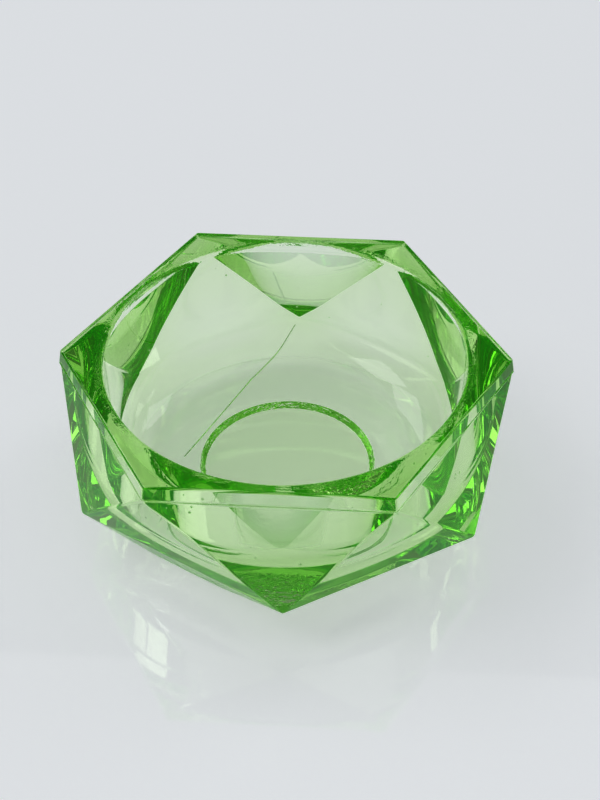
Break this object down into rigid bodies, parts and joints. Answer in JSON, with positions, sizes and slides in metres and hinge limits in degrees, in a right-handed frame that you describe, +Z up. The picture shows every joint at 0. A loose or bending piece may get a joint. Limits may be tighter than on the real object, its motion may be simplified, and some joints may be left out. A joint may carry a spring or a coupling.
{
  "type": "faceted glass dish",
  "caption": "Low round-bowled dish of pressed green uranium glass with a hexagonal faceted outside, an upright rim band and a low round foot.",
  "frame": {"origin": "on the surface the dish stands on, under the middle of its foot", "axes": "+Z up along the axis of the bowl; +X towards one corner of the rim hexagon; +Y towards one corner of the lower hexagon"},
  "size_m": [0.102, 0.1012, 0.039],
  "materials": {
    "uranium_glass": "clear fire-polished green uranium glass, pressed, glossy"
  },
  "bodies": {
    "root": {"dish": "uranium_glass"}
  },
  "joints": []
}
